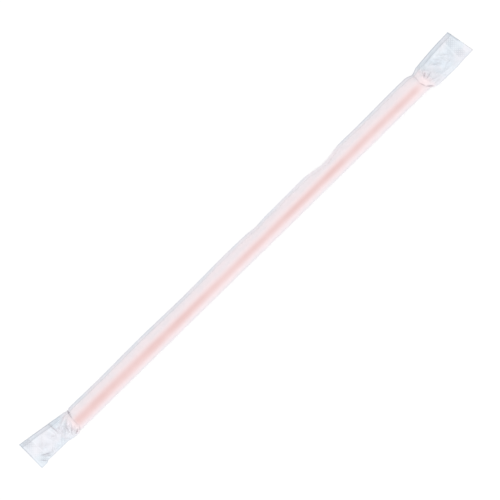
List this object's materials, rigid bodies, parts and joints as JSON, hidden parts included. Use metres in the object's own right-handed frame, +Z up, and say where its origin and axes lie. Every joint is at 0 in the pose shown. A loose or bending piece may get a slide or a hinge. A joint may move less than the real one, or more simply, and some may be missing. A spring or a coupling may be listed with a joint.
{
  "type": "wrapped drinking straw",
  "caption": "Straight plastic drinking straw sealed in a thin translucent paper sleeve with a long lapped seam and flat crimped ends.",
  "frame": {"origin": "on the surface the part lies on, under the middle of the straw inside", "axes": "+X along the straw, +Y across it towards the long seam, +Z up from the surface"},
  "size_m": [0.2428, 0.0146, 0.007],
  "materials": {
    "straw_plastic": "smooth extruded plastic",
    "wrapper_paper": "thin translucent smooth paper"
  },
  "bodies": {
    "root": {"straw": "straw_plastic", "wrapper": "wrapper_paper"}
  },
  "joints": []
}
